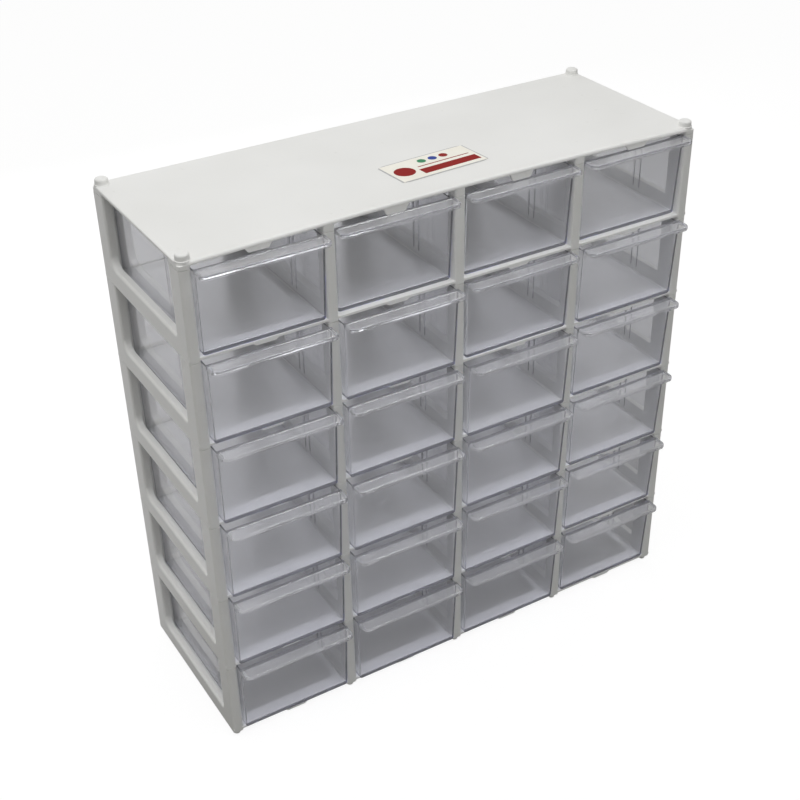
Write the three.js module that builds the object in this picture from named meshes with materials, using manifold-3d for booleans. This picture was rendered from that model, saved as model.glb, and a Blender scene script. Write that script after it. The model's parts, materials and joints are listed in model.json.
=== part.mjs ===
// A bench-top parts organizer: 24 clear pull-out drawers, 4 across and 6 high, in a white frame.
// The frame is six equal tiers that plug into each other, closed by a top panel.
// Millimetres, +Z up. The drawers open towards -Y. Origin at the centre of the bounding box's base.

import * as THREE from 'three';
import { mergeVertices } from 'three/addons/utils/BufferGeometryUtils.js';
import Module from 'manifold-3d';

const wasm = await Module();
wasm.setup();

// ---- driving dimensions -------------------------------------------------------------------

const COLUMNS = 4;
const TIERS = 6;
const COLUMN_PITCH = 98;      // from one upright to the next
const TIER_PITCH = 64.5;      // from one tier's base to the next
const FRAME_DEPTH = 144;
const JOINT_GAP = 0.3;        // clearance between pieces that rest on each other

const POST_WIDTH = 8;         // every post, across the front
const SIDE_POSTS = { front: 17, back: 16 };    // depth of the posts of the two outer uprights
const INNER_POSTS = { front: 10, back: 14 };   // depth of the posts of the three inner uprights
const RAIL_WIDTH = 5.5;
const RAIL_HEIGHT = 13.3;
const REAR_FILLET = 9;        // lower back corner of each side window
const FRONT_FILLET = 3;       // lower front corner of each side window

const SHELF_LOW = 1.3;        // the shelf's underside, above the tier's base
const SHELF_TOP = 3.3;
const SHELF_SIDE_LEDGE = 7;   // what a drawer's two long edges run on
const SHELF_END_LEDGE = 12;   // the shelf's strips at the front and the back
const FLANGE_WIDTH = 10;      // the back flanges stop a drawer from sliding out of the back
const FLANGE_THICKNESS = 2;

const TAB_WIDTH = 19;         // stop tab, where it meets the shelf
const TAB_TIP_WIDTH = 14;
const TAB_THICKNESS = 2;

const PEG_RADIUS = 2.5;
const PEG_LENGTH = 4;
const PEG_INSET = 4.5;        // peg axis from the frame's front or back face
const SOCKET_RADIUS = 2.9;
const SOCKET_DEPTH = 4.6;
const PEG_SIDES = 8;

const PANEL_LOW = 2;          // the top panel's underside, above its base
const PANEL_TOP = 4.9;
const PANEL_TAB_LOW = 0.5;    // the top panel's stop tabs, above its base
const KNOB_RADIUS = 5.2;      // at the knob's foot
const KNOB_HEIGHT = 4.6;
const KNOB_INSET = 5.2;       // knob axis from the panel's edges
const KNOB_SIDES = 12;

const DRAWER_WIDTH = 88.8;    // at the rim
const DRAWER_DEPTH = 137.5;
const DRAWER_DRAFT = 0.8;     // each side wall leans in by this much towards the floor
const DRAWER_RIM = 63;        // the side and back walls' rim, above the tier's base
const DRAWER_TOP = 64.7;      // the front panel's and the lip's top, above the tier's base
const DRAWER_LEAN = 3;        // the front panel's top leans out by this much past its foot
const DRAWER_WALL = 1;
const DRAWER_BASE = 2;        // thickness of the floor
const DRAWER_FRONT = 1.5;     // thickness of the front panel
const DRAWER_CORNER = 2.4;    // radius of the two long lower edges, outside
const INNER_CORNER = 1.2;     // and inside
const LIP_WIDTH = 89.4;
const LIP_REACH = 14.2;       // how far the pull lip's edge is ahead of the front panel's foot
const LIP_CORNER = 4.5;
const LIP_THICKNESS = 1.8;
const LIP_BEAD_HEIGHT = 3.6;
const LIP_BEAD_WIDTH = 1.6;
const SLOT_RIBS = [39, 45.5]; // the two ribs of the divider slot, from the front's foot
const RIB_WIDTH = 1.6;
const RIB_HEIGHT = 1.5;
const RIB_LOW = 9.5;          // the ribs' lower ends, above the tier's base
const TONGUE_WIDTH = 40;      // the back wall's tongue meets the stop tab when the drawer is out
const TONGUE_TOP = 65.4;      // above the tier's base

// The drawers are not all closed to the same depth. How far the foot of each one's front panel
// stands ahead of the frame's front, from the top row down and from the left.
const STANDS_OUT = [
  [0, -4, -3.5, -4],
  [3, 3, -0.5, 1],
  [4, 3, 4, 0.5],
  [4.5, 4.5, 4, 1.5],
  [3, 3.5, 3, 1],
  [2, 3, 2, 0.5],
];

const LABEL = { x: 205, y: 41.5, width: 70, depth: 33, thickness: 0.3, turn: 3 };

const FRAME_WIDTH = COLUMNS * COLUMN_PITCH + POST_WIDTH;
const UPRIGHTS = COLUMNS + 1;
const ARC_STEPS = 1;          // a quarter arc gets twice this many straight pieces
const OVERRUN = 1;            // how far a cutting solid passes the face that it cuts

// ---- solids -------------------------------------------------------------------------------

function solidOf(geometry) {
  geometry.deleteAttribute('normal');
  geometry.deleteAttribute('uv');
  const merged = mergeVertices(geometry, 1e-4);
  return new wasm.Manifold(new wasm.Mesh({
    numProp: 3,
    vertProperties: new Float32Array(merged.attributes.position.array),
    triVerts: new Uint32Array(merged.index.array),
  }));
}

function geometryOf(solid) {
  const mesh = solid.getMesh();
  const geometry = new THREE.BufferGeometry();
  geometry.setAttribute('position', new THREE.BufferAttribute(mesh.vertProperties, 3));
  geometry.setIndex(new THREE.BufferAttribute(mesh.triVerts, 1));
  geometry.computeVertexNormals();
  return geometry;
}

function join(solids) {
  return solids.reduce((whole, piece) => whole.add(piece));
}

// A box from its lowest corner to its highest.
function box(x0, y0, z0, x1, y1, z1) {
  const geometry = new THREE.BoxGeometry(x1 - x0, y1 - y0, z1 - z0);
  geometry.translate((x0 + x1) / 2, (y0 + y1) / 2, (z0 + z1) / 2);
  return solidOf(geometry);
}

const X_AXIS = new THREE.Vector3(1, 0, 0);
const Y_AXIS = new THREE.Vector3(0, 1, 0);
const Z_AXIS = new THREE.Vector3(0, 0, 1);

function extrude(shape, length, across, up, along) {
  const geometry = new THREE.ExtrudeGeometry(shape, {
    depth: length, bevelEnabled: false, curveSegments: ARC_STEPS,
  });
  geometry.applyMatrix4(new THREE.Matrix4().makeBasis(across, up, along));
  return geometry;
}

// An outline in X and Y, raised from z0 to z1.
function plate(shape, z0, z1) {
  const geometry = extrude(shape, z1 - z0, X_AXIS, Y_AXIS, Z_AXIS);
  geometry.translate(0, 0, z0);
  return solidOf(geometry);
}

// An outline in X and Z, carried back from y0 to y1.
function channel(shape, y0, y1) {
  const geometry = extrude(shape, y1 - y0, X_AXIS, Z_AXIS, Y_AXIS.clone().negate());
  geometry.translate(0, y1, 0);
  return solidOf(geometry);
}

// An outline in Y and Z, carried across from x0 to x1.
function profile(shape, x0, x1) {
  const geometry = extrude(shape, x1 - x0, Y_AXIS, Z_AXIS, X_AXIS);
  geometry.translate(x0, 0, 0);
  return solidOf(geometry);
}

function polygon(points) {
  return new THREE.Shape(points.map(([a, b]) => new THREE.Vector2(a, b)));
}

function peg(x, y, radius, z0, z1) {
  const geometry = new THREE.CylinderGeometry(radius, radius, z1 - z0, PEG_SIDES);
  geometry.rotateX(Math.PI / 2);
  geometry.translate(x, y, (z0 + z1) / 2);
  return solidOf(geometry);
}

// ---- frame --------------------------------------------------------------------------------

const uprightX = (index) => index * COLUMN_PITCH;
const isOuter = (index) => index === 0 || index === UPRIGHTS - 1;
const postsOf = (index) => (isOuter(index) ? SIDE_POSTS : INNER_POSTS);

function railSpan(index) {
  const left = uprightX(index);
  if (index === 0) return [left, left + RAIL_WIDTH];
  if (index === UPRIGHTS - 1) return [left + POST_WIDTH - RAIL_WIDTH, left + POST_WIDTH];
  const middle = left + POST_WIDTH / 2;
  return [middle - RAIL_WIDTH / 2, middle + RAIL_WIDTH / 2];
}

// Two posts and the rail between them, open at the top, with filleted lower corners.
function upright(index) {
  const posts = postsOf(index);
  const top = TIER_PITCH - JOINT_GAP;
  const windowFront = posts.front;
  const windowBack = FRAME_DEPTH - posts.back;
  const rail = new THREE.Shape();
  rail.moveTo(OVERRUN, 0);
  rail.lineTo(FRAME_DEPTH - OVERRUN, 0);
  rail.lineTo(FRAME_DEPTH - OVERRUN, RAIL_HEIGHT + REAR_FILLET);
  rail.lineTo(windowBack, RAIL_HEIGHT + REAR_FILLET);
  rail.absarc(windowBack - REAR_FILLET, RAIL_HEIGHT + REAR_FILLET, REAR_FILLET, 0, -Math.PI / 2, true);
  rail.lineTo(windowFront + FRONT_FILLET, RAIL_HEIGHT);
  rail.absarc(windowFront + FRONT_FILLET, RAIL_HEIGHT + FRONT_FILLET, FRONT_FILLET,
    -Math.PI / 2, -Math.PI, true);
  rail.lineTo(OVERRUN, RAIL_HEIGHT + FRONT_FILLET);
  const left = uprightX(index);
  const right = left + POST_WIDTH;
  const [railLeft, railRight] = railSpan(index);
  return join([
    profile(rail, railLeft, railRight),
    box(left, 0, 0, right, posts.front, top),
    box(left, windowBack, 0, right, FRAME_DEPTH, top),
  ]);
}

function bays() {
  return Array.from({ length: COLUMNS }, (_, column) => ({
    left: uprightX(column) + POST_WIDTH,
    right: uprightX(column + 1),
  }));
}

// A flat plate with one rectangular hole in each bay.
function shelf() {
  const holes = bays().map(({ left, right }) => box(
    left + SHELF_SIDE_LEDGE, SHELF_END_LEDGE, SHELF_LOW - OVERRUN,
    right - SHELF_SIDE_LEDGE, FRAME_DEPTH - SHELF_END_LEDGE, SHELF_TOP + OVERRUN,
  ));
  return box(0, 0, SHELF_LOW, FRAME_WIDTH, FRAME_DEPTH, SHELF_TOP).subtract(join(holes));
}

// A stop tab with sloping ends, under the middle of the bay's front edge.
function stopTab({ left, right }, low, high) {
  const middle = (left + right) / 2;
  return channel(polygon([
    [middle - TAB_TIP_WIDTH / 2, low],
    [middle + TAB_TIP_WIDTH / 2, low],
    [middle + TAB_WIDTH / 2, high],
    [middle - TAB_WIDTH / 2, high],
  ]), 0, TAB_THICKNESS);
}

function backFlanges({ left, right }) {
  const front = FRAME_DEPTH - FLANGE_THICKNESS;
  const top = TIER_PITCH - JOINT_GAP;
  return [
    box(left - OVERRUN, front, 0, left + FLANGE_WIDTH, FRAME_DEPTH, top),
    box(right - FLANGE_WIDTH, front, 0, right + OVERRUN, FRAME_DEPTH, top),
  ];
}

function postCentres() {
  return Array.from({ length: UPRIGHTS }, (_, index) => uprightX(index) + POST_WIDTH / 2)
    .flatMap((x) => [[x, PEG_INSET], [x, FRAME_DEPTH - PEG_INSET]]);
}

function pegs() {
  return postCentres().map(([x, y]) => peg(x, y, PEG_RADIUS, -PEG_LENGTH, OVERRUN));
}

function sockets() {
  const top = TIER_PITCH - JOINT_GAP;
  return postCentres().map(([x, y]) => peg(x, y, SOCKET_RADIUS, top - SOCKET_DEPTH, top + OVERRUN));
}

function frameTier() {
  const uprights = Array.from({ length: UPRIGHTS }, (_, index) => upright(index));
  const tabs = bays().map((bay) => stopTab(bay, 0, SHELF_LOW + OVERRUN / 2));
  const moulding = join([shelf(), ...uprights, ...tabs, ...bays().flatMap(backFlanges), ...pegs()]);
  return moulding.subtract(join(sockets()));
}

// ---- top panel ----------------------------------------------------------------------------

// A round knob with a flared foot and a rounded shoulder, standing on the panel.
function knob(x, y) {
  const foot = PANEL_TOP - OVERRUN;
  const crown = PANEL_TOP + KNOB_HEIGHT;
  const outline = [
    [0, foot],
    [KNOB_RADIUS, foot],
    [KNOB_RADIUS, PANEL_TOP + KNOB_HEIGHT * 0.12],
    [KNOB_RADIUS * 0.9, PANEL_TOP + KNOB_HEIGHT * 0.6],
    [KNOB_RADIUS * 0.66, crown],
    [0, crown],
  ].map(([radius, z]) => new THREE.Vector2(radius, z));
  const geometry = new THREE.LatheGeometry(outline, KNOB_SIDES);
  geometry.rotateX(Math.PI / 2);
  geometry.translate(x, y, 0);
  return solidOf(geometry);
}

function topPanel() {
  const far = { x: FRAME_WIDTH - KNOB_INSET, y: FRAME_DEPTH - KNOB_INSET };
  const knobs = [
    knob(KNOB_INSET, KNOB_INSET),
    knob(far.x, KNOB_INSET),
    knob(KNOB_INSET, far.y),
    knob(far.x, far.y),
  ];
  const stubs = Array.from({ length: UPRIGHTS }, (_, index) => index).flatMap((index) => {
    const left = uprightX(index);
    const posts = postsOf(index);
    const high = PANEL_LOW + OVERRUN;
    return [
      box(left, 0, 0, left + POST_WIDTH, posts.front, high),
      box(left, FRAME_DEPTH - posts.back, 0, left + POST_WIDTH, FRAME_DEPTH, high),
    ];
  });
  const tabs = bays().map((bay) => stopTab(bay, PANEL_TAB_LOW, PANEL_LOW + OVERRUN / 2));
  const sheet = box(0, 0, PANEL_LOW, FRAME_WIDTH, FRAME_DEPTH, PANEL_TOP);
  return join([sheet, ...stubs, ...tabs, ...pegs(), ...knobs]);
}

// ---- drawer -------------------------------------------------------------------------------

const DRAWER_LOW = SHELF_TOP + JOINT_GAP;

// How far the front panel leans out at a height.
function lean(z) {
  return DRAWER_LEAN * (z - DRAWER_LOW) / (DRAWER_TOP - DRAWER_LOW);
}

// Two side walls that lean in towards a floor with rounded long edges.
function trough(half, low, high, radius) {
  const foot = half - DRAWER_DRAFT;
  const shape = new THREE.Shape();
  shape.moveTo(-half, high);
  shape.lineTo(-foot, low + radius);
  shape.absarc(radius - foot, low + radius, radius, Math.PI, Math.PI * 1.5, false);
  shape.lineTo(foot - radius, low);
  shape.absarc(foot - radius, low + radius, radius, Math.PI * 1.5, Math.PI * 2, false);
  shape.lineTo(half, high);
  return shape;
}

// An outline in X and Z carried back from y0 to y1, with its front end leaning out.
function leaningChannel(shape, y0, y1) {
  const geometry = extrude(shape, y1 - y0, X_AXIS, Z_AXIS, Y_AXIS.clone().negate());
  geometry.translate(0, y1, 0);
  const places = geometry.attributes.position;
  const middle = (y0 + y1) / 2;
  for (let i = 0; i < places.count; i += 1) {
    if (places.getY(i) < middle) places.setY(i, y0 - lean(places.getZ(i)));
  }
  return solidOf(geometry);
}

// The lip's outline from above, drawn in by an inset, from the front panel out to its round ends.
function lipOutline(inset) {
  const half = LIP_WIDTH / 2 - inset;
  const reach = LIP_REACH - inset;
  const radius = LIP_CORNER - inset;
  const root = DRAWER_FRONT / 2 - DRAWER_LEAN;
  const shape = new THREE.Shape();
  shape.moveTo(half, root);
  shape.lineTo(-half, root);
  shape.lineTo(-half, radius - reach);
  shape.absarc(radius - half, radius - reach, radius, Math.PI, Math.PI * 1.5, false);
  shape.lineTo(half - radius, -reach);
  shape.absarc(half - radius, radius - reach, radius, Math.PI * 1.5, Math.PI * 2, false);
  return shape;
}

function pullLip() {
  const solid = plate(lipOutline(0), DRAWER_TOP - LIP_BEAD_HEIGHT, DRAWER_TOP);
  const low = DRAWER_TOP - LIP_BEAD_HEIGHT - OVERRUN;
  const hollow = plate(lipOutline(LIP_BEAD_WIDTH), low, DRAWER_TOP - LIP_THICKNESS);
  const ahead = box(-LIP_WIDTH, -LIP_REACH - OVERRUN, low, LIP_WIDTH, -DRAWER_LEAN, DRAWER_TOP);
  return solid.subtract(hollow.intersect(ahead));
}

function slotRibs() {
  const inner = DRAWER_WIDTH / 2 - DRAWER_WALL;
  const high = DRAWER_RIM - DRAWER_WALL;
  const buried = DRAWER_WALL / 4;
  return SLOT_RIBS.flatMap((y) => [
    box(-inner - buried, y, RIB_LOW, -inner + RIB_HEIGHT, y + RIB_WIDTH, high),
    box(inner - RIB_HEIGHT, y, RIB_LOW, inner + buried, y + RIB_WIDTH, high),
  ]);
}

// A box cut away above the side and back walls' rim leaves the front panel standing taller.
function drawer() {
  const half = DRAWER_WIDTH / 2;
  const outside = leaningChannel(trough(half, DRAWER_LOW, DRAWER_TOP, DRAWER_CORNER), 0, DRAWER_DEPTH);
  const room = trough(half - DRAWER_WALL, DRAWER_LOW + DRAWER_BASE, DRAWER_TOP + OVERRUN,
    INNER_CORNER);
  const inside = leaningChannel(room, DRAWER_FRONT, DRAWER_DEPTH - DRAWER_WALL);
  const above = leaningChannel(polygon([
    [-half - OVERRUN, DRAWER_RIM],
    [half + OVERRUN, DRAWER_RIM],
    [half + OVERRUN, DRAWER_TOP + OVERRUN],
    [-half - OVERRUN, DRAWER_TOP + OVERRUN],
  ]), DRAWER_FRONT, DRAWER_DEPTH + OVERRUN);
  const tongue = box(-TONGUE_WIDTH / 2, DRAWER_DEPTH - DRAWER_WALL, DRAWER_RIM - OVERRUN,
    TONGUE_WIDTH / 2, DRAWER_DEPTH, TONGUE_TOP);
  const shell = outside.subtract(inside).subtract(above);
  return join([shell, pullLip(), tongue, ...slotRibs()]);
}

// ---- assembly -----------------------------------------------------------------------------

const white = { color: 0xf1f0ea, roughness: 0.45, metalness: 0 };
const clear = { color: 0xdfe6ee, roughness: 0.12, metalness: 0, transparent: true, opacity: 0.35 };
const paper = { color: 0xf3ead2, roughness: 0.6, metalness: 0 };

const foremost = LIP_REACH + Math.max(...STANDS_OUT.flat());
const group = new THREE.Group();
group.position.set(-FRAME_WIDTH / 2, (foremost - FRAME_DEPTH) / 2, PEG_LENGTH);

function place(name, geometry, finish, x, y, z) {
  const mesh = new THREE.Mesh(geometry, new THREE.MeshStandardMaterial(finish));
  mesh.name = name;
  mesh.position.set(x, y, z);
  group.add(mesh);
  return mesh;
}

const tierGeometry = geometryOf(frameTier());
const drawerGeometry = geometryOf(drawer());

for (let row = 1; row <= TIERS; row += 1) {
  const base = (TIERS - row) * TIER_PITCH;
  place(`frame_tier_${row}`, tierGeometry, white, 0, 0, base);
  bays().forEach(({ left, right }, index) => {
    const name = `drawer_r${row}_c${index + 1}`;
    const out = STANDS_OUT[row - 1][index];
    place(name, drawerGeometry, clear, (left + right) / 2, -out, base);
  });
}

const panelBase = TIERS * TIER_PITCH;
place('top_panel', geometryOf(topPanel()), white, 0, 0, panelBase);

const sticker = new THREE.BoxGeometry(LABEL.width, LABEL.depth, LABEL.thickness);
const stickerZ = panelBase + PANEL_TOP + JOINT_GAP + LABEL.thickness / 2;
const label = place('label', sticker, paper, LABEL.x, LABEL.y, stickerZ);
label.rotation.z = THREE.MathUtils.degToRad(LABEL.turn);

export default group;
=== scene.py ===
"""The looks of a bench-top parts organizer: 24 clear drawers in a white frame of six stacked tiers.

Every moulding is built in millimetres in its own frame and then scaled to metres. A tier's own
frame has its origin at the front left corner of its base. A drawer's has its origin on the front
panel, halfway across, at the height of its tier's base. The drawers open towards -Y.
"""

import json
import math

import bmesh
import bpy
from mathutils import Matrix, Vector

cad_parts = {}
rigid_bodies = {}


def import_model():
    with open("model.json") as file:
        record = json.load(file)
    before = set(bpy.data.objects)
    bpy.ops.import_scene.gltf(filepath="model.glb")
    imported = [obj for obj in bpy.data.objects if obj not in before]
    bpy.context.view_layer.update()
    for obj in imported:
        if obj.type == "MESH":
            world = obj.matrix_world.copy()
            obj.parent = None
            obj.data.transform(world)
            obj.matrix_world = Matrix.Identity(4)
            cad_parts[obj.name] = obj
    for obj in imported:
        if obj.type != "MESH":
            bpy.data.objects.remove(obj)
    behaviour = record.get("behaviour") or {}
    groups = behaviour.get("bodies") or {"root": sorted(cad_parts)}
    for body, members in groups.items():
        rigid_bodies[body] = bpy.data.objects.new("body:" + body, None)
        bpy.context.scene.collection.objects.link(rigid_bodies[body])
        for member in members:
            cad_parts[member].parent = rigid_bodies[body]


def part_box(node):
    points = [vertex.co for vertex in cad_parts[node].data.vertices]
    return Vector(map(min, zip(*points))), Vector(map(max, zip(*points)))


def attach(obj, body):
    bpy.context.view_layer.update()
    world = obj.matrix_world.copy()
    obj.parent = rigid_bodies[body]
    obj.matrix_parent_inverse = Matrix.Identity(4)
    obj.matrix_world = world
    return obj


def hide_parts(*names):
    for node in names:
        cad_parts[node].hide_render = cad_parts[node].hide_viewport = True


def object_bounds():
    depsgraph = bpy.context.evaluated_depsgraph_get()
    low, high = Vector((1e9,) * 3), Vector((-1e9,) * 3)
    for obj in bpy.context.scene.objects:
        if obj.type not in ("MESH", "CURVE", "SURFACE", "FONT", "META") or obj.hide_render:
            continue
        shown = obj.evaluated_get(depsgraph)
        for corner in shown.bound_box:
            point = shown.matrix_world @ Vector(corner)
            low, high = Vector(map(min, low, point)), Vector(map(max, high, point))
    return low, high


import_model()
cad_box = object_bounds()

MM = 0.001

# ---- driving dimensions, in millimetres ---------------------------------------------------

ROWS = 6
COLUMNS = 4
PEG_LENGTH = 4

lowest_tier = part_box(f"frame_tier_{ROWS}")
corner = lowest_tier[0] + Vector((0, 0, PEG_LENGTH * MM))
WIDTH = round((lowest_tier[1].x - lowest_tier[0].x) / MM, 3)
DEPTH = round((lowest_tier[1].y - lowest_tier[0].y) / MM, 3)
TIER_PITCH = (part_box(f"frame_tier_{ROWS - 1}")[0].z - lowest_tier[0].z) / MM

POST_WIDTH = 8
POST_TOP = TIER_PITCH - 0.3
SIDE_POSTS = (17, 16)         # depth of a side's front and back post
INNER_POSTS = (10, 14)
SIDE_POST_ROUND = 1.8
INNER_POST_ROUND = 1.5
RAIL_WIDTH = 5.5
RAIL_HEIGHT = 13.3
REAR_FILLET = 9
FRONT_FILLET = 3
WINDOW_ROUND = 2.2            # rounding of a side window's outer edge

SHELF_LOW = 1.3
SHELF_TOP = 3.3
SIDE_LEDGE = 7
END_LEDGE = 12
FLANGE_WIDTH = 10
FLANGE_THICKNESS = 2
FLANGE_ROUND = 0.6
FLANGE_EDGE = 0.2

TAB_WIDTH = 19
TAB_TIP_WIDTH = 14
TAB_THICKNESS = 2

PEG_RADIUS = 2.5
PEG_INSET = 4.5
SOCKET_RADIUS = 2.9
SOCKET_DEPTH = 4.6

PANEL_LOW = 2
PANEL_TOP = 4.9
PANEL_TAB_LOW = 0.5
PANEL_BOW = 3.2               # how far the panel's front edge bows up halfway across
PANEL_CORNER = 4.5
PANEL_EDGE = 1.1
PANEL_ROLL = 2.2              # rounding of the panel's upper front edge
KNOB_RADIUS = 5.2             # at the knob's foot
KNOB_HEIGHT = 4.6
KNOB_INSET = 5.2
KNOB_SHOULDER = 1.5
KNOB_FLARE = 0.5

DRAWER_HALF = 44.4            # half the width at the rim
DRAWER_DEPTH = 137.5
DRAWER_DRAFT = 0.8
DRAWER_FLOOR = 3.6
DRAWER_RIM = 63
DRAWER_TOP = 64.7
DRAWER_LEAN = 3               # how far the front panel's top leans out past its foot
DRAWER_WALL = 1
DRAWER_BASE = 2               # thickness of the drawer's floor
DRAWER_FRONT = 1.5
DRAWER_CORNER = 2.4
INNER_CORNER = 1.2
LIP_HALF = 44.7
LIP_REACH = 14.2              # from the foot of the front panel
LIP_CORNER = 4.5
LIP_THICKNESS = 1.8
BEAD_HEIGHT = 3.6
BEAD_WIDTH = 1.6
BEAD_TOP_WIDTH = 2.2
CHANNEL_DEPTH = 0.6           # of the channel along the lip's top
CHANNEL_SETOFF = 0.7          # from the front panel to the channel
SLOT_RIBS = (39, 45.5)
RIB_WIDTH = 1.6
RIB_HEIGHT = 1.5
RIB_LOW = 9.5
TONGUE_WIDTH = 40
TONGUE_TOP = 65.4
TONGUE_ROUND = 1.2
TONGUE_EDGE = 0.3

PITCH = (WIDTH - POST_WIDTH) / COLUMNS
LABEL_CENTRE = (205, 41.5)
LABEL_SIZE = (70, 33)
LABEL_THICKNESS = 0.3
LABEL_CORNER = 1.5
LABEL_COLUMNS = 16            # strips that let the film follow the bowed panel
LABEL_TURN = math.radians(3)

OVERRUN = 1                   # how far a piece runs into the one that it joins
SKIN = 0.15                   # keeps faces of joined pieces from lying in one plane

# ---- outlines and solids ------------------------------------------------------------------

ALONG_X, ALONG_Y, ALONG_Z = range(3)


def at(a, b, height, axis):
    """The point at (a, b) in the plane across an axis, and at a height along it."""
    return ((height, a, b), (a, height, b), (a, b, height))[axis]


def arc(centre, radius, start, end, steps):
    """Points on an arc, its ends included, with the angles in degrees."""
    angles = [math.radians(start + (end - start) * i / steps) for i in range(steps + 1)]
    return [
        (centre[0] + radius * math.cos(t), centre[1] + radius * math.sin(t)) for t in angles
    ]


def rounded(corners, steps=5):
    """An outline through corners (a, b, radius), each corner rounded to its radius."""
    points = []
    for i, (a, b, radius) in enumerate(corners):
        here = Vector((a, b))
        if radius <= 0:
            points.append((a, b))
            continue
        back = (Vector(corners[i - 1][:2]) - here).normalized()
        on = (Vector(corners[(i + 1) % len(corners)][:2]) - here).normalized()
        half = back.angle(on) / 2
        centre = here + (back + on).normalized() * radius / math.sin(half)
        reach = radius / math.tan(half)
        first, last = (here + back * reach - centre), (here + on * reach - centre)
        start, end = math.atan2(first.y, first.x), math.atan2(last.y, last.x)
        turn = (end - start + math.pi) % (2 * math.pi) - math.pi
        for step in range(steps + 1):
            t = start + turn * step / steps
            points.append((centre.x + radius * math.cos(t), centre.y + radius * math.sin(t)))
    return points


def rectangle(a0, b0, a1, b1, radius, steps=5):
    return rounded(
        [(a0, b0, radius), (a1, b0, radius), (a1, b1, radius), (a0, b1, radius)], steps
    )


def edge_rings(low, high, radius, steps=3):
    """(height, inset) of each ring of a solid whose two end edges are rounded."""
    if radius <= 0:
        return [(low, 0), (high, 0)]
    turns = [math.pi / 2 * i / steps for i in range(steps + 1)]
    near = [(low + radius * (1 - math.cos(t)), radius * (1 - math.sin(t))) for t in turns]
    far = [(high - radius * (1 - math.cos(t)), radius * (1 - math.sin(t))) for t in turns]
    return near + far[::-1]


def loft(rings):
    """A closed solid through rings of equally many points, capped at both ends."""
    size = len(rings[0])
    points = [point for ring in rings for point in ring]
    faces = [tuple(range(size))[::-1], tuple(range(len(points) - size, len(points)))]
    for start in range(0, len(points) - size, size):
        for i in range(size):
            j = (i + 1) % size
            faces.append((start + i, start + j, start + size + j, start + size + i))
    mesh = bpy.data.meshes.new("solid")
    mesh.from_pydata(points, [], faces)
    work = bmesh.new()
    work.from_mesh(mesh)
    bmesh.ops.remove_doubles(work, verts=work.verts, dist=1e-5)
    bmesh.ops.recalc_face_normals(work, faces=work.faces)
    work.to_mesh(mesh)
    work.free()
    return mesh


def prism(outline, low, high, axis):
    return loft([[at(a, b, h, axis) for a, b in outline] for h in (low, high)])


def block(low, high, axis, radius, edge=0.0, steps=5):
    """A box with its edges along an axis rounded to a radius, and its end edges to another."""
    others = [i for i in range(3) if i != axis]
    (a0, a1), (b0, b1) = [(low[i], high[i]) for i in others]
    rings = []
    for height, inset in edge_rings(low[axis], high[axis], edge, 2):
        inner = max(radius - inset, 0.02)
        outline = rectangle(a0 + inset, b0 + inset, a1 - inset, b1 - inset, inner, steps)
        rings.append([at(a, b, height, axis) for a, b in outline])
    return loft(rings)


def lathe(profile, x, y, sides=32):
    """A solid turned about the upright line at (x, y), from (radius, z) points going up."""
    rings = []
    for radius, z in profile:
        turns = [2 * math.pi * i / sides for i in range(sides)]
        rings.append([(x + radius * math.cos(t), y + radius * math.sin(t), z) for t in turns])
    return loft(rings)


def combine(base, operation, others):
    """Unites meshes with the first, or takes them away from it."""
    links = bpy.context.scene.collection.objects
    holder = bpy.data.objects.new("holder", base)
    links.link(holder)
    tools = []
    for other in others:
        tool = bpy.data.objects.new("tool", other)
        links.link(tool)
        tools.append(tool)
        modifier = holder.modifiers.new("combine", "BOOLEAN")
        modifier.operation = operation
        modifier.solver = "MANIFOLD"
        modifier.object = tool
    depsgraph = bpy.context.evaluated_depsgraph_get()
    result = bpy.data.meshes.new_from_object(holder.evaluated_get(depsgraph))
    for used in [holder, *tools]:
        old = used.data
        bpy.data.objects.remove(used)
        bpy.data.meshes.remove(old)
    return result


def finished(mesh, name, sharp=35):
    """The mesh in metres, shaded smooth over its small roundings and flat over its faces."""
    mesh.transform(Matrix.Scale(MM, 4))
    mesh.materials.clear()
    mesh.shade_smooth()
    mesh.set_sharp_from_angle(angle=math.radians(sharp))
    holder = bpy.data.objects.new("holder", mesh)
    bpy.context.scene.collection.objects.link(holder)
    modifier = holder.modifiers.new("normals", "WEIGHTED_NORMAL")
    modifier.keep_sharp = True
    modifier.weight = 80
    depsgraph = bpy.context.evaluated_depsgraph_get()
    result = bpy.data.meshes.new_from_object(holder.evaluated_get(depsgraph))
    result.name = name
    bpy.data.objects.remove(holder)
    bpy.data.meshes.remove(mesh)
    return result


# ---- frame tier ---------------------------------------------------------------------------


def bays():
    """The left and right side of the opening for each column's drawer."""
    return [(PITCH * i + POST_WIDTH, PITCH * (i + 1)) for i in range(COLUMNS)]


def ladder_outline(posts, grow):
    """A rail and the cores of its two posts, in Y and Z; grow widens the window between them."""
    front, back = posts[0] - grow, DEPTH - posts[1] + grow
    sill = RAIL_HEIGHT - grow
    return rounded([
        (OVERRUN, 0, 0),
        (DEPTH - OVERRUN, 0, 0),
        (DEPTH - OVERRUN, POST_TOP, 0),
        (back, POST_TOP, 0),
        (back, sill, REAR_FILLET + grow),
        (front, sill, FRONT_FILLET + grow),
        (front, POST_TOP, 0),
        (OVERRUN, POST_TOP, 0),
    ], 8)


def side_ladder(left):
    """A side of the tier, with the window's outer edge rounded."""
    rings = []
    for depth, inset in edge_rings(0, 2 * RAIL_WIDTH, WINDOW_ROUND, 5)[:6]:
        rings.append((depth + 0.02, inset))
    rings.append((RAIL_WIDTH, 0))
    outlines = [(x, ladder_outline(SIDE_POSTS, grow)) for x, grow in rings]
    return loft([
        [(x if left else WIDTH - x, a, b) for a, b in outline] for x, outline in outlines
    ])


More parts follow.
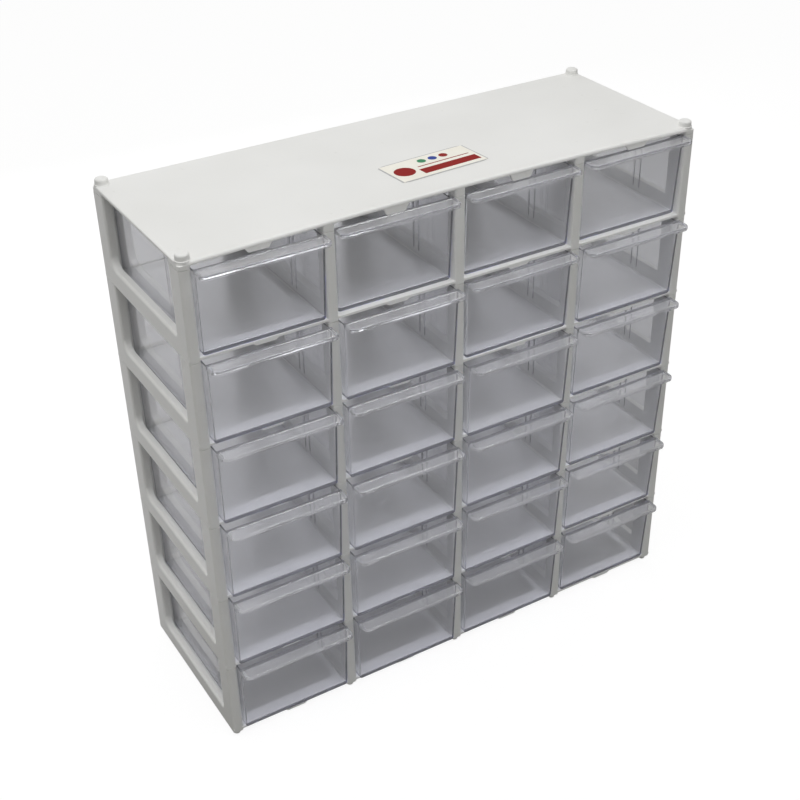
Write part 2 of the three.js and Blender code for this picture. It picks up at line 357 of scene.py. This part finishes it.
def posts_at(index, low, high):
    """The front and back post of an upright, from one height to another."""
    outer = index in (0, COLUMNS)
    depths = SIDE_POSTS if outer else INNER_POSTS
    radius = SIDE_POST_ROUND if outer else INNER_POST_ROUND
    x = PITCH * index
    return [
        block((x, 0, low), (x + POST_WIDTH, depths[0], high), ALONG_Z, radius, 0.25),
        block((x, DEPTH - depths[1], low), (x + POST_WIDTH, DEPTH, high), ALONG_Z, radius, 0.25),
    ]


def uprights():
    pieces = [side_ladder(True), side_ladder(False)]
    for index in range(1, COLUMNS):
        middle = PITCH * index + POST_WIDTH / 2
        outline = ladder_outline(INNER_POSTS, 0)
        low, high = middle - RAIL_WIDTH / 2, middle + RAIL_WIDTH / 2
        pieces.append(prism(outline, low, high, ALONG_X))
    for index in range(COLUMNS + 1):
        pieces += posts_at(index, 0, POST_TOP)
    return pieces


def shelf():
    sheet = block(
        (SKIN, SKIN, SHELF_LOW), (WIDTH - SKIN, DEPTH - SKIN, SHELF_TOP), ALONG_X, 0.4, 0, 3
    )
    holes = [
        prism(
            rectangle(left + SIDE_LEDGE, END_LEDGE, right - SIDE_LEDGE, DEPTH - END_LEDGE, 2),
            SHELF_LOW - OVERRUN, SHELF_TOP + OVERRUN, ALONG_Z,
        )
        for left, right in bays()
    ]
    return combine(sheet, "DIFFERENCE", holes)


def stop_tab(left, right, low, high):
    middle = (left + right) / 2
    outline = rounded([
        (middle - TAB_TIP_WIDTH / 2, low, 0.8),
        (middle + TAB_TIP_WIDTH / 2, low, 0.8),
        (middle + TAB_WIDTH / 2, high, 0),
        (middle - TAB_WIDTH / 2, high, 0),
    ], 3)
    return prism(outline, SKIN, TAB_THICKNESS + SKIN, ALONG_Y)


def back_flanges(left, right):
    front, back = DEPTH - FLANGE_THICKNESS, DEPTH - SKIN
    spans = [(left - OVERRUN, left + FLANGE_WIDTH), (right - FLANGE_WIDTH, right + OVERRUN)]
    return [
        block((x0, front, 0), (x1, back, POST_TOP), ALONG_Z, FLANGE_ROUND, FLANGE_EDGE)
        for x0, x1 in spans
    ]


def peg_places():
    across = [PITCH * i + POST_WIDTH / 2 for i in range(COLUMNS + 1)]
    return [(x, y) for x in across for y in (PEG_INSET, DEPTH - PEG_INSET)]


def pegs():
    profile = [
        (PEG_RADIUS - 0.6, -PEG_LENGTH), (PEG_RADIUS, 0.6 - PEG_LENGTH), (PEG_RADIUS, OVERRUN),
    ]
    return [lathe(profile, x, y, 24) for x, y in peg_places()]


def sockets():
    profile = [(SOCKET_RADIUS, POST_TOP - SOCKET_DEPTH), (SOCKET_RADIUS, POST_TOP + OVERRUN)]
    return [lathe(profile, x, y, 24) for x, y in peg_places()]


def frame_tier():
    tabs = [stop_tab(left, right, 0, SHELF_LOW + OVERRUN / 2) for left, right in bays()]
    flanges = [flange for left, right in bays() for flange in back_flanges(left, right)]
    moulding = combine(shelf(), "UNION", [*uprights(), *tabs, *flanges, *pegs()])
    return finished(combine(moulding, "DIFFERENCE", sockets()), "frame_tier")


# ---- top panel ----------------------------------------------------------------------------


def bow(x, y):
    """How far the top panel bows up at a place: most halfway along its front edge."""
    across = 1 - ((x - WIDTH / 2) / (WIDTH / 2)) ** 2
    return PANEL_BOW * max(across, 0) * max(1 - y / DEPTH, 0)


def panel_sheet():
    """The bowed sheet, lofted across, with round corners in plan and rounded edges."""
    near = [PANEL_CORNER * (1 - math.cos(math.radians(t))) for t in (0, 12, 24, 36, 50, 65, 80)]
    spans = 36
    middle = [PANEL_CORNER + (WIDTH - 2 * PANEL_CORNER) * i / spans for i in range(spans + 1)]
    stations = near + middle + [WIDTH - x for x in near[::-1]]
    rings = []
    for x in stations:
        inward = min(x, WIDTH - x)
        side = max(PANEL_CORNER - inward, 0)
        corner_inset = PANEL_CORNER - math.sqrt(PANEL_CORNER ** 2 - side ** 2)
        rim = max(PANEL_EDGE - inward, 0)
        edge_inset = PANEL_EDGE - math.sqrt(PANEL_EDGE ** 2 - rim ** 2)
        low, high = PANEL_LOW + edge_inset, PANEL_TOP - edge_inset
        share = (high - low) / (PANEL_TOP - PANEL_LOW)
        outline = rounded([
            (corner_inset, low, 0.5 * share),
            (DEPTH - corner_inset, low, 0.5 * share),
            (DEPTH - corner_inset, high, PANEL_EDGE * share),
            (corner_inset, high, PANEL_ROLL * share),
        ], 6)
        rings.append([(x, y, z + bow(x, y)) for y, z in outline])
    return loft(rings)


def knob(x, y):
    """A round stacking knob with a rolled shoulder and a small flare where it meets the panel."""
    crown = PANEL_TOP + KNOB_HEIGHT
    waist = KNOB_RADIUS - KNOB_FLARE
    profile = [(KNOB_RADIUS, PANEL_TOP - OVERRUN)]
    profile += arc((KNOB_RADIUS, PANEL_TOP + 0.4 + KNOB_FLARE), KNOB_FLARE, 270, 180, 4)
    shoulder = (waist - 0.1 - KNOB_SHOULDER, crown - KNOB_SHOULDER)
    profile += arc(shoulder, KNOB_SHOULDER, 0, 90, 5)
    profile.append((0.4, crown + 0.15))
    return lathe(profile, x, y)


def top_panel():
    stubs = []
    for index in range(COLUMNS + 1):
        x = PITCH * index + POST_WIDTH / 2
        stubs += posts_at(index, 0, PANEL_LOW + bow(x, 0) + OVERRUN)[:1]
        stubs += posts_at(index, 0, PANEL_LOW + bow(x, DEPTH - PEG_INSET) + OVERRUN)[1:]
    tabs = []
    for left, right in bays():
        lift = bow((left + right) / 2, 0)
        tabs.append(stop_tab(left, right, PANEL_TAB_LOW, PANEL_LOW + lift + OVERRUN / 2))
    knobs = [
        knob(x, y)
        for x in (KNOB_INSET, WIDTH - KNOB_INSET)
        for y in (KNOB_INSET, DEPTH - KNOB_INSET)
    ]
    moulding = combine(panel_sheet(), "UNION", [*stubs, *tabs, *pegs(), *knobs])
    return finished(moulding, "top_panel")


def label():
    """A thin film with cut corners that lies on the bowed panel, about its own centre."""
    turn = Matrix.Rotation(LABEL_TURN, 2)
    half_u, half_v = LABEL_SIZE[0] / 2, LABEL_SIZE[1] / 2
    rings = []
    for i in range(LABEL_COLUMNS + 1):
        u = -half_u + LABEL_SIZE[0] * i / LABEL_COLUMNS
        inset = LABEL_CORNER if i in (0, LABEL_COLUMNS) else 0
        outline = [(inset - half_v, 0), (half_v - inset, 0), (half_v - inset, LABEL_THICKNESS),
                   (inset - half_v, LABEL_THICKNESS)]
        ring = []
        for v, z in outline:
            place = turn @ Vector((u, v))
            lift = bow(LABEL_CENTRE[0] + place.x, LABEL_CENTRE[1] + place.y)
            ring.append((u, v, z + lift))
        rings.append(ring)
    return finished(loft(rings), "label")


# ---- drawer -------------------------------------------------------------------------------


def half_at(z):
    """Half the drawer's outer width at a height."""
    return DRAWER_HALF - DRAWER_DRAFT * (DRAWER_RIM - z) / (DRAWER_RIM - DRAWER_FLOOR)


def lean(z):
    """How far the front panel's face stands out at a height."""
    return DRAWER_LEAN * (z - DRAWER_FLOOR) / (DRAWER_TOP - DRAWER_FLOOR)


def trough(inset, high):
    """The drawer's section across: leaning sides and a floor with round long edges."""
    low = DRAWER_FLOOR + inset
    foot, head = half_at(low) - inset, half_at(high) - inset
    radius = DRAWER_CORNER - inset
    corners = [(-head, high, 0), (-foot, low, radius), (foot, low, radius), (head, high, 0)]
    return rounded(corners, 6)


def drawer_body():
    rings = []
    for y, inset in edge_rings(0, DRAWER_DEPTH, 0.6, 3):
        leaning = y < DRAWER_FRONT
        section = trough(inset, DRAWER_RIM)
        rings.append([at(a, b, y - lean(b) * leaning, ALONG_Y) for a, b in section])
    return loft(rings)


def drawer_cavity():
    """The room inside, with round edges to the floor and round upright corners."""
    low = DRAWER_FLOOR + DRAWER_BASE
    levels = edge_rings(low, DRAWER_RIM + 20, INNER_CORNER, 4)[:5]
    levels.append((DRAWER_RIM + OVERRUN, 0))
    rings = []
    for z, inset in levels:
        half = half_at(z) - DRAWER_WALL - inset
        front, back = DRAWER_FRONT - lean(z) + inset, DRAWER_DEPTH - DRAWER_WALL - inset
        outline = rectangle(-half, front, half, back, 0.5, 3)
        rings.append([at(a, b, z, ALONG_Z) for a, b in outline])
    return loft(rings)


def lip_outline(inset, root):
    """The lip from above, drawn in by an inset, from its root out to its round ends."""
    half = LIP_HALF - inset
    tip = inset - LIP_REACH
    radius = LIP_CORNER - inset
    corners = [(half, root, 0), (-half, root, 0), (-half, tip, radius), (half, tip, radius)]
    return rounded(corners, 10)


def lip_body():
    rings = []
    for z, inset in edge_rings(DRAWER_TOP - BEAD_HEIGHT, DRAWER_TOP, 0.9, 4):
        outline = lip_outline(inset, DRAWER_FRONT / 2 - DRAWER_LEAN)
        rings.append([at(a, b, z, ALONG_Z) for a, b in outline])
    return loft(rings)


def lip_hollow():
    """The room under the lip, inside its bead."""
    top = DRAWER_TOP - LIP_THICKNESS
    rings = []
    for z, inset in [(DRAWER_TOP - BEAD_HEIGHT - OVERRUN, -0.2), (top - 0.7, 0), (top, 0.7)]:
        outline = lip_outline(BEAD_WIDTH + inset, -DRAWER_LEAN)
        rings.append([at(a, b, z, ALONG_Z) for a, b in outline])
    return loft(rings)


def lip_channel():
    """The shallow channel along the lip's top, between the front panel and the bead."""
    levels = [
        (-CHANNEL_DEPTH, 0.55), (0.3 - CHANNEL_DEPTH, 0.15),
        (-0.15, 0), (0, -0.12), (OVERRUN, -0.12),
    ]
    rings = []
    for height, inset in levels:
        outline = lip_outline(BEAD_TOP_WIDTH + inset, -CHANNEL_SETOFF - DRAWER_LEAN - inset)
        rings.append([at(a, b, DRAWER_TOP + height, ALONG_Z) for a, b in outline])
    return loft(rings)


def slot_ribs():
    inner = DRAWER_HALF - DRAWER_WALL
    high = DRAWER_RIM - DRAWER_WALL
    buried = DRAWER_WALL / 4
    ribs = []
    for y in SLOT_RIBS:
        for side in (-1, 1):
            x0, x1 = sorted((side * (inner + buried), side * (inner - RIB_HEIGHT)))
            ribs.append(block((x0, y, RIB_LOW), (x1, y + RIB_WIDTH, high), ALONG_Z, 0.35, 0.35, 3))
    return ribs


def drawer():
    shell = combine(drawer_body(), "DIFFERENCE", [drawer_cavity()])
    low = DRAWER_RIM - OVERRUN
    section = rounded([
        (0.02 - lean(low), low, 0), (DRAWER_FRONT - lean(low), low, 0),
        (DRAWER_FRONT - DRAWER_LEAN, DRAWER_TOP, 0.5), (0.02 - DRAWER_LEAN, DRAWER_TOP, 0.5),
    ], 3)
    brow = prism(section, -DRAWER_HALF, DRAWER_HALF, ALONG_X)
    back = DRAWER_DEPTH - DRAWER_WALL
    tongue = block(
        (-TONGUE_WIDTH / 2, back, DRAWER_RIM - OVERRUN),
        (TONGUE_WIDTH / 2, DRAWER_DEPTH, TONGUE_TOP),
        ALONG_Y, TONGUE_ROUND, TONGUE_EDGE, 3,
    )
    lip = combine(lip_body(), "DIFFERENCE", [lip_hollow(), lip_channel()])
    moulding = combine(shell, "UNION", [brow, tongue, lip, *slot_ribs()])
    return finished(moulding, "drawer")


# ---- materials ----------------------------------------------------------------------------


class Nodes:
    """A new material and short ways to add and link its nodes."""

    def __init__(self, name):
        self.material = bpy.data.materials.new(name)
        self.material.use_nodes = True
        self.tree = self.material.node_tree
        self.shader = self.tree.nodes["Principled BSDF"]
        self.output = self.tree.nodes["Material Output"]

    def add(self, kind, **settings):
        node = self.tree.nodes.new(kind)
        for key, value in settings.items():
            setattr(node, key, value)
        return node

    def link(self, source, target):
        self.tree.links.new(source, target)

    def math(self, operation, a, b=None, c=None):
        node = self.add("ShaderNodeMath", operation=operation)
        for socket, value in zip(node.inputs, (a, b, c)):
            if isinstance(value, bpy.types.NodeSocket):
                self.link(value, socket)
            elif value is not None:
                socket.default_value = value
        return node.outputs[0]

    def noise(self, vector, scale, detail=2.0, roughness=0.5):
        node = self.add("ShaderNodeTexNoise")
        node.inputs["Scale"].default_value = scale
        node.inputs["Detail"].default_value = detail
        node.inputs["Roughness"].default_value = roughness
        self.link(vector, node.inputs["Vector"])
        return node.outputs["Fac"]

    def spread(self, value, low, high, start=0.3, end=0.7):
        """A value's middle range laid out between two numbers."""
        node = self.add("ShaderNodeMapRange")
        limits = {"From Min": start, "From Max": end, "To Min": low, "To Max": high}
        for name, number in limits.items():
            node.inputs[name].default_value = number
        self.link(value, node.inputs["Value"])
        return node.outputs["Result"]

    def blend(self, factor, a, b):
        node = self.add("ShaderNodeMix", data_type="RGBA")
        self.link(factor, node.inputs[0])
        for socket, value in ((node.inputs[6], a), (node.inputs[7], b)):
            if isinstance(value, bpy.types.NodeSocket):
                self.link(value, socket)
            else:
                socket.default_value = (*value, 1)
        return node.outputs[2]

    def bump(self, height, strength, distance, normal=None):
        node = self.add("ShaderNodeBump")
        node.inputs["Strength"].default_value = strength
        node.inputs["Distance"].default_value = distance
        self.link(height, node.inputs["Height"])
        if normal is not None:
            self.link(normal, node.inputs["Normal"])
        return node.outputs["Normal"]

    def place(self):
        """Coordinates on the object, moved by its own random amount so that no two are alike."""
        spot = self.add("ShaderNodeTexCoord").outputs["Object"]
        chance = self.add("ShaderNodeObjectInfo").outputs["Random"]
        shifted = self.add("ShaderNodeVectorMath", operation="ADD")
        self.link(spot, shifted.inputs[0])
        self.link(self.math("MULTIPLY", chance, 7.0), shifted.inputs[1])
        return shifted.outputs[0]


def white_plastic():
    """Moulded white polystyrene: satin, slightly warm, with a fine grain and a few marks."""
    nodes = Nodes("white_plastic")
    place = nodes.place()
    broad = nodes.spread(nodes.noise(place, 9, 3), 0, 1)
    colour = nodes.blend(broad, (0.78, 0.78, 0.755), (0.83, 0.83, 0.81))
    marks = nodes.spread(nodes.noise(place, 160, 4, 0.6), 0, 0.35, 0.66, 0.8)
    colour = nodes.blend(marks, colour, (0.58, 0.57, 0.53))
    nodes.link(colour, nodes.shader.inputs["Base Color"])
    gloss = nodes.spread(nodes.noise(place, 30, 3), 0.34, 0.46)
    nodes.link(gloss, nodes.shader.inputs["Roughness"])
    nodes.shader.inputs["IOR"].default_value = 1.5
    grain = nodes.bump(nodes.noise(place, 900, 2), 0.12, 0.0002)
    swell = nodes.bump(nodes.noise(place, 22, 1), 0.15, 0.001, grain)
    nodes.link(swell, nodes.shader.inputs["Normal"])
    return nodes.material


def clear_plastic():
    """Clear polystyrene, bluish where it is looked through edgewise, with a frosted floor."""
    nodes = Nodes("clear_plastic")
    place = nodes.place()
    shader = nodes.shader
    shader.inputs["Base Color"].default_value = (0.997, 0.997, 1, 1)
    shader.inputs["IOR"].default_value = 1.55
    own = nodes.add("ShaderNodeTexCoord").outputs["Object"]
    parts = nodes.add("ShaderNodeSeparateXYZ")
    nodes.link(own, parts.inputs[0])
    low = nodes.math("LESS_THAN", parts.outputs["Z"], (DRAWER_FLOOR + DRAWER_BASE + 0.3) * MM)
    facing = nodes.add("ShaderNodeSeparateXYZ")
    geometry = nodes.add("ShaderNodeNewGeometry")
    nodes.link(geometry.outputs["True Normal"], facing.inputs[0])
    outside = nodes.math("SUBTRACT", 1.0, geometry.outputs["Backfacing"])
    level = nodes.math("GREATER_THAN", nodes.math("ABSOLUTE", facing.outputs["Z"]), 0.9)
    floor = nodes.math("MULTIPLY", nodes.math("MULTIPLY", low, level), outside)
    haze = nodes.spread(nodes.noise(place, 40, 4), 0.0, 0.015)
    gloss = nodes.math("ADD", haze, nodes.math("MULTIPLY", floor, 0.22))
    nodes.link(gloss, shader.inputs["Roughness"])
    veil = nodes.math("MULTIPLY_ADD", outside, 0.02, 0.11)
    veil = nodes.math("MULTIPLY_ADD", floor, 0.26, veil)
    clearness = nodes.math("SUBTRACT", 1.0, veil)
    nodes.link(clearness, shader.inputs["Transmission Weight"])
    waves = nodes.bump(nodes.noise(place, 30, 1), 0.02, 0.0004)
    nodes.link(waves, shader.inputs["Normal"])
    clear = nodes.add("ShaderNodeBsdfTransparent")
    clear.inputs["Color"].default_value = (0.97, 0.97, 0.975, 1)
    shadow = nodes.add("ShaderNodeLightPath").outputs["Is Shadow Ray"]
    mix = nodes.add("ShaderNodeMixShader")
    nodes.link(shadow, mix.inputs[0])
    nodes.link(shader.outputs[0], mix.inputs[1])
    nodes.link(clear.outputs[0], mix.inputs[2])
    nodes.link(mix.outputs[0], nodes.output.inputs["Surface"])
    depth = nodes.add("ShaderNodeVolumeAbsorption")
    depth.inputs["Color"].default_value = (0.08, 0.18, 0.9, 1)
    depth.inputs["Density"].default_value = 11
    nodes.link(depth.outputs[0], nodes.output.inputs["Volume"])
    return nodes.material


def printed_film():
    """A cream film with a generic print: a red bar, a red disc, a thin line and three dots."""
    nodes = Nodes("printed_film")
    own = nodes.add("ShaderNodeTexCoord").outputs["Object"]
    parts = nodes.add("ShaderNodeSeparateXYZ")
    nodes.link(own, parts.inputs[0])
    u, v = parts.outputs["X"], parts.outputs["Y"]

    def patch(centre, half):
        wide = nodes.math("COMPARE", u, centre[0] * MM, half[0] * MM)
        high = nodes.math("COMPARE", v, centre[1] * MM, half[1] * MM)
        return nodes.math("MULTIPLY", wide, high)

    def dot(centre, radius):
        gap = nodes.add("ShaderNodeVectorMath", operation="DISTANCE")
        flat = nodes.add("ShaderNodeCombineXYZ")
        nodes.link(u, flat.inputs["X"])
        nodes.link(v, flat.inputs["Y"])
        nodes.link(flat.outputs[0], gap.inputs[0])
        gap.inputs[1].default_value = (centre[0] * MM, centre[1] * MM, 0)
        return nodes.math("LESS_THAN", gap.outputs["Value"], radius * MM)

    red, green = (0.27, 0.008, 0.006), (0.05, 0.25, 0.12)
    blue, grey = (0.03, 0.06, 0.3), (0.5, 0.5, 0.5)
    paper = nodes.spread(nodes.noise(own, 60, 3), 0, 1)
    colour = nodes.blend(paper, (0.84, 0.81, 0.72), (0.88, 0.86, 0.78))
    inside = patch((0, 0), (LABEL_SIZE[0] / 2 - 0.9, LABEL_SIZE[1] / 2 - 0.9))
    border = nodes.math("SUBTRACT", 1.0, inside)
    colour = nodes.blend(border, colour, grey)
    prints = [
        (patch((9, -7.5), (23, 4.2)), red),
        (dot((-24, -1), 7.5), red),
        (patch((9, 1), (21, 0.55)), red),
        (dot((-4, 8.5), 3.2), green),
        (dot((5, 8.5), 3.2), blue),
        (dot((14, 8.5), 3.2), red),
    ]
    for mask, ink in prints:
        colour = nodes.blend(mask, colour, ink)
    nodes.link(colour, nodes.shader.inputs["Base Color"])
    nodes.shader.inputs["Roughness"].default_value = 0.4
    nodes.shader.inputs["Specular IOR Level"].default_value = 0.1
    nodes.link(nodes.bump(nodes.noise(own, 300, 2), 0.1, 0.0002), nodes.shader.inputs["Normal"])
    return nodes.material


# ---- pieces -------------------------------------------------------------------------------


def piece(name, mesh, material, place, body, node):
    made = bpy.data.objects.new(name, mesh)
    bpy.context.scene.collection.objects.link(made)
    if not mesh.materials:
        mesh.materials.append(material)
    made.location = place
    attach(made, body)
    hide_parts(node)
    return made


def build_object():
    white, clear, film = white_plastic(), clear_plastic(), printed_film()
    tier_mesh, drawer_mesh = frame_tier(), drawer()
    peg = Vector((0, 0, PEG_LENGTH * MM))
    for row in range(1, ROWS + 1):
        node = f"frame_tier_{row}"
        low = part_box(node)[0]
        piece(f"tier_{row}", tier_mesh, white, low + peg, "cabinet", node)
        for column in range(1, COLUMNS + 1):
            spot = f"r{row}_c{column}"
            node = f"drawer_{spot}"
            low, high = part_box(node)
            place = Vector((
                (low.x + high.x) / 2, low.y + LIP_REACH * MM, low.z - DRAWER_FLOOR * MM,
            ))
            piece(f"tray_{spot}", drawer_mesh, clear, place, f"tray_{spot}", node)
    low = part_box("top_panel")[0]
    piece("top_panel_shell", top_panel(), white, low + peg, "cabinet", "top_panel")
    low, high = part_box("label")
    place = Vector(((low.x + high.x) / 2, (low.y + high.y) / 2, low.z - 0.25 * MM))
    sticker = piece("label_film", label(), film, place, "cabinet", "label")
    sticker.rotation_euler.z = LABEL_TURN


# ---- stage, light and camera --------------------------------------------------------------


def stage():
    """A pale floor. Seen directly it is near white; to every other ray it is a grey with painted
    shade, darker under and in front of the cabinet and paler behind it, and it lights the cabinet
    so."""
    side = 12
    floor_z = cad_box[0][2]
    mesh = bpy.data.meshes.new("floor")
    mesh.from_pydata(
        [(x * side, y * side, floor_z) for x, y in ((-1, -1), (1, -1), (1, 1), (-1, 1))],
        [], [(0, 1, 2, 3)],
    )
    floor = bpy.data.objects.new("floor", mesh)
    bpy.context.scene.collection.objects.link(floor)
    nodes = Nodes("floor")
    parts = nodes.add("ShaderNodeSeparateXYZ")
    nodes.link(nodes.add("ShaderNodeTexCoord").outputs["Object"], parts.inputs[0])
    # painted shade: the grey seen by rays other than the camera's is darker under and in front of
    # the cabinet and paler behind it
    behind = nodes.spread(parts.outputs["Y"], 0, 1, -0.05, 0.15)
    colour = nodes.blend(behind, (0.21, 0.21, 0.205), (0.48, 0.48, 0.49))
    nodes.link(colour, nodes.shader.inputs["Base Color"])
    nodes.shader.inputs["Roughness"].default_value = 0.9
    pale = nodes.add("ShaderNodeBsdfDiffuse")
    pale.inputs["Color"].default_value = (0.95, 0.95, 0.95, 1)
    glow = nodes.add("ShaderNodeEmission")
    glow.inputs["Strength"].default_value = 1.04
    seen = nodes.add("ShaderNodeMixShader")
    seen.inputs[0].default_value = 0.88
    nodes.link(pale.outputs[0], seen.inputs[1])
    nodes.link(glow.outputs[0], seen.inputs[2])
    mix = nodes.add("ShaderNodeMixShader")
    nodes.link(nodes.add("ShaderNodeLightPath").outputs["Is Camera Ray"], mix.inputs[0])
    nodes.link(nodes.shader.outputs[0], mix.inputs[1])
    nodes.link(seen.outputs[0], mix.inputs[2])
    nodes.link(mix.outputs[0], nodes.output.inputs["Surface"])
    mesh.materials.append(nodes.material)


def area_light(name, size, watts, place, aim_height):
    """A rectangular lamp aimed at a height above the middle of the cabinet's base."""
    light = bpy.data.lights.new(name, "AREA")
    light.shape = "RECTANGLE"
    light.size, light.size_y = size
    light.energy = watts
    lamp = bpy.data.objects.new(name, light)
    bpy.context.scene.collection.objects.link(lamp)
    lamp.location = place
    aim = Vector((0, 0, aim_height)) - lamp.location
    lamp.rotation_euler = aim.to_track_quat("-Z", "Y").to_euler()
    return lamp


def lights():
    world = bpy.data.worlds.new("studio")
    world.use_nodes = True
    tree = world.node_tree
    background = tree.nodes["Background"]
    path = tree.nodes.new("ShaderNodeLightPath")
    strength = tree.nodes.new("ShaderNodeMapRange")
    strength.inputs["To Min"].default_value = 0.47
    strength.inputs["To Max"].default_value = 1.02
    tree.links.new(path.outputs["Is Camera Ray"], strength.inputs["Value"])
    tree.links.new(strength.outputs["Result"], background.inputs["Strength"])
    background.inputs["Color"].default_value = (1, 0.993, 0.975, 1)
    bpy.context.scene.world = world

    key = area_light("overhead", (1.6, 1.2), 17, (-0.3, -0.35, 2.0), 0.2)
    key.data.color = (0.975, 0.98, 1)
    rear = area_light("behind", (1.4, 0.5), 5, (0.1, 1.0, 0.5), 0.28)
    rear.visible_glossy = False
    strip = area_light("strip", (1.3, 0.3), 10, (0.75, -0.4, 1.8), 0.25)
    strip.visible_diffuse = False


def camera():
    """The camera's place is measured from the front left corner of the lowest tier's base."""
    azimuth, elevation, roll = (math.radians(t) for t in (30.383, 34.025, 1.225))
    lens = bpy.data.cameras.new("camera")
    lens.lens = 61.025
    lens.shift_y = 0.05
    lens.clip_start, lens.clip_end = 0.05, 50
    eye = bpy.data.objects.new("camera", lens)
    bpy.context.scene.collection.objects.link(eye)
    turn = Matrix.Rotation(-azimuth, 4, "Z")
    tilt = Matrix.Rotation(math.pi / 2 - elevation, 4, "X")
    lean = Matrix.Rotation(-roll, 4, "Z")
    place = corner + Vector((-254.8, -690.3, 752.7)) * MM
    eye.matrix_world = Matrix.Translation(place) @ turn @ tilt @ lean
    bpy.context.scene.camera = eye


def look():
    scene = bpy.context.scene
    scene.view_settings.view_transform = "Standard"
    scene.view_settings.look = "None"
    scene.cycles.max_bounces = 32
    scene.cycles.transmission_bounces = 32
    scene.cycles.transparent_max_bounces = 32
    scene.cycles.diffuse_bounces = 6
    scene.cycles.glossy_bounces = 8
    scene.cycles.caustics_reflective = False
    scene.cycles.caustics_refractive = True


build_object()
stage()
lights()
camera()
look()

bpy.context.view_layer.update()
